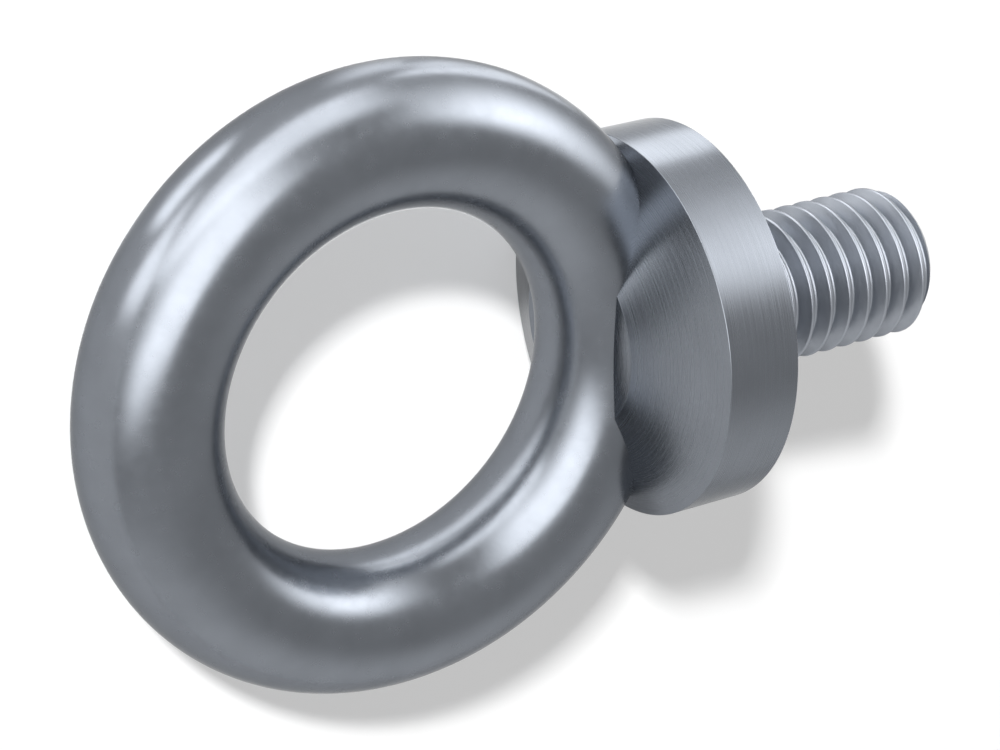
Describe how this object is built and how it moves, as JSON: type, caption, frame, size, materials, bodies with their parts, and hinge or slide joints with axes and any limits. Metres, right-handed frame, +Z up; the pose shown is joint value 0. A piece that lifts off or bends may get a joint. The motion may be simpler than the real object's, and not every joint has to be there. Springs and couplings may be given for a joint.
{
  "type": "lifting eye bolt",
  "caption": "Forged lifting eye bolt: a round ring on a coned collar with a flat seat and a short threaded shank, lying at rest.",
  "frame": {"origin": "on the floor under the lying bolt, halfway along its length and on its plane of symmetry", "axes": "+X along the bolt from the ring to the thread, as seen from above; +Y across the ring; +Z up"},
  "size_m": [0.059, 0.041, 0.0255],
  "materials": {
    "bright_steel": "bright zinc plated steel, satin, slightly blue grey, smooth forged ring and turned collar"
  },
  "bodies": {
    "root": {"eye_bolt": "bright_steel"}
  },
  "joints": []
}
